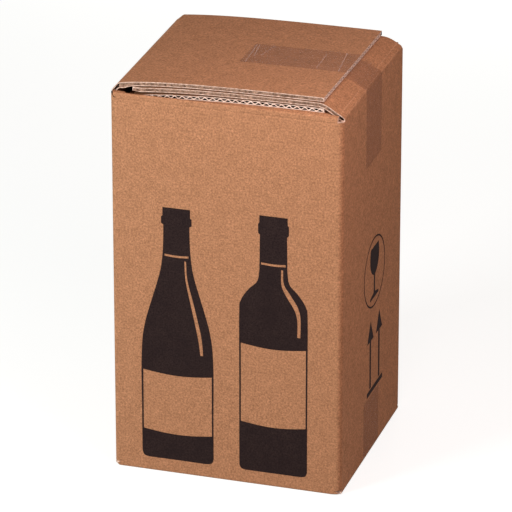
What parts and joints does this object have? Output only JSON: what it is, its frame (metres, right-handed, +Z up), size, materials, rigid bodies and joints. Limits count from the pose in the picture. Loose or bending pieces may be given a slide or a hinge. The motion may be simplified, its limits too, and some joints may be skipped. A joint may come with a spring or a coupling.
{
  "type": "bottle shipping box",
  "caption": "Closed upright shipping box for bottles, folded from corrugated board, with overlapping flaps held by clear tape.",
  "frame": {"origin": "centre of the box's footprint, on the surface it stands on", "axes": "+Z up, -Y out of the printed front wall, +X out of the right wall, where the tape comes down"},
  "size_m": [0.2201, 0.2, 0.3899],
  "materials": {
    "kraft_board": "matte kraft liner",
    "clear_tape": "clear glossy film"
  },
  "bodies": {
    "root": {"carton": "kraft_board", "top_tape": "clear_tape", "bottom_tape": "clear_tape"}
  },
  "joints": []
}
